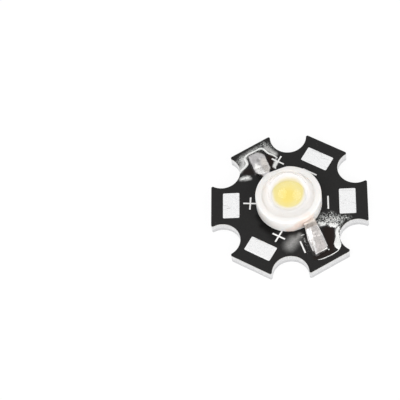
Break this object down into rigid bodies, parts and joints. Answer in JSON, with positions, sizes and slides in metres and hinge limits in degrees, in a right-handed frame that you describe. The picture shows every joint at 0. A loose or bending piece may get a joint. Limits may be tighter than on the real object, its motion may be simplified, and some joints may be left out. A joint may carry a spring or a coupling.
{
  "type": "star pcb power led",
  "caption": "Domed white power LED emitter soldered by bent leads on a black six-armed aluminium star board with screw notches and tinned plus and minus wire pads.",
  "frame": {"origin": "middle of the star on the bare aluminium back face, which lies on the heat sink", "axes": "+Z out of the front, along the light; +X along the right-hand minus arm, with the left-hand plus arm at -X"},
  "size_m": [0.02, 0.02, 0.0066],
  "materials": {
    "aluminium_core": "satin",
    "insulating_film": "matte",
    "copper": "satin",
    "black_mask": "satin",
    "tin": "satin",
    "heat_compound": "matte",
    "plated_slug": "satin",
    "white_body": "satin",
    "lead_metal": "satin",
    "solder": "satin",
    "die_bond": "matte",
    "chip": "gloss",
    "gold_wire": "gloss",
    "phosphor": "matte",
    "clear_gel": "clear",
    "clear_lens": "clear"
  },
  "bodies": {
    "root": {"base_plate": "aluminium_core", "dielectric_layer": "insulating_film", "copper_anode": "copper", "copper_cathode": "copper", "thermal_pad": "copper", "solder_mask": "black_mask", "plus_pad_left": "tin", "plus_pad_front": "tin", "minus_pad_right": "tin", "minus_pad_rear": "tin", "thermal_paste": "heat_compound", "heat_slug": "plated_slug", "emitter_body": "white_body", "anode_lead": "lead_metal", "cathode_lead": "lead_metal", "solder_joint_anode": "solder", "solder_joint_cathode": "solder", "die_attach": "die_bond", "led_die": "chip", "bond_wire_anode": "gold_wire", "bond_wire_cathode": "gold_wire", "phosphor": "phosphor", "gel_fill": "clear_gel", "lens": "clear_lens"}
  },
  "joints": []
}
